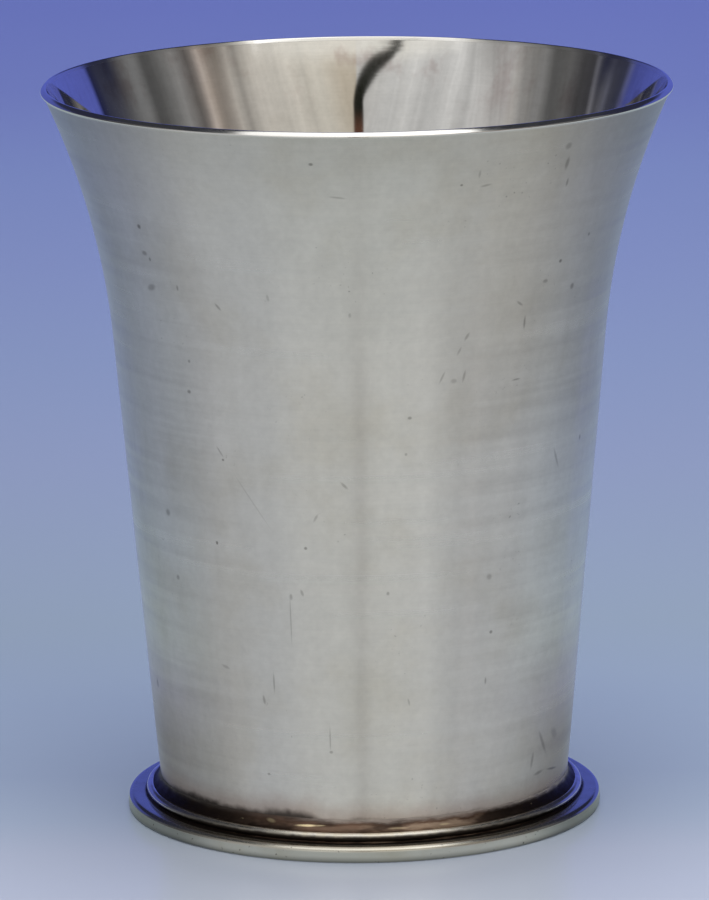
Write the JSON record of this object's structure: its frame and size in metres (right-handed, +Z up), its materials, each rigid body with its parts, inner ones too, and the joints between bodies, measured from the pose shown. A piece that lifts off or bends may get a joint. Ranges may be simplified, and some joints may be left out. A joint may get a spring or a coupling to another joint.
{
  "type": "julep cup",
  "caption": "Flared metal drinking cup with a wired lip, a stepped ring foot and a raised, slightly domed bottom.",
  "frame": {"origin": "centre of the ring foot, on the plane that the cup stands on", "axes": "+Z up along the cup's axis of turning, towards the mouth; +X to the right in the picture"},
  "size_m": [0.081, 0.081, 0.095],
  "materials": {
    "wall_silver": "sterling silver, hand polished round the cup to a soft satin outside and brighter inside, lightly tarnished",
    "wire_silver": "sterling silver, bright from handling, with fine scratches",
    "bottom_silver": "sterling silver, dull satin with turning marks and tarnish",
    "foot_silver": "sterling silver, satin, with bright worn edges and small pits",
    "silver_solder": "silver solder, matt, tarnished dark brown to black with a few golden flecks"
  },
  "bodies": {
    "root": {"body_wall": "wall_silver", "lip_wire": "wire_silver", "bottom_disc": "bottom_silver", "foot_band": "foot_silver", "foot_bead": "wire_silver", "foot_solder": "silver_solder", "groove_solder": "silver_solder", "bottom_solder": "silver_solder"}
  },
  "joints": []
}
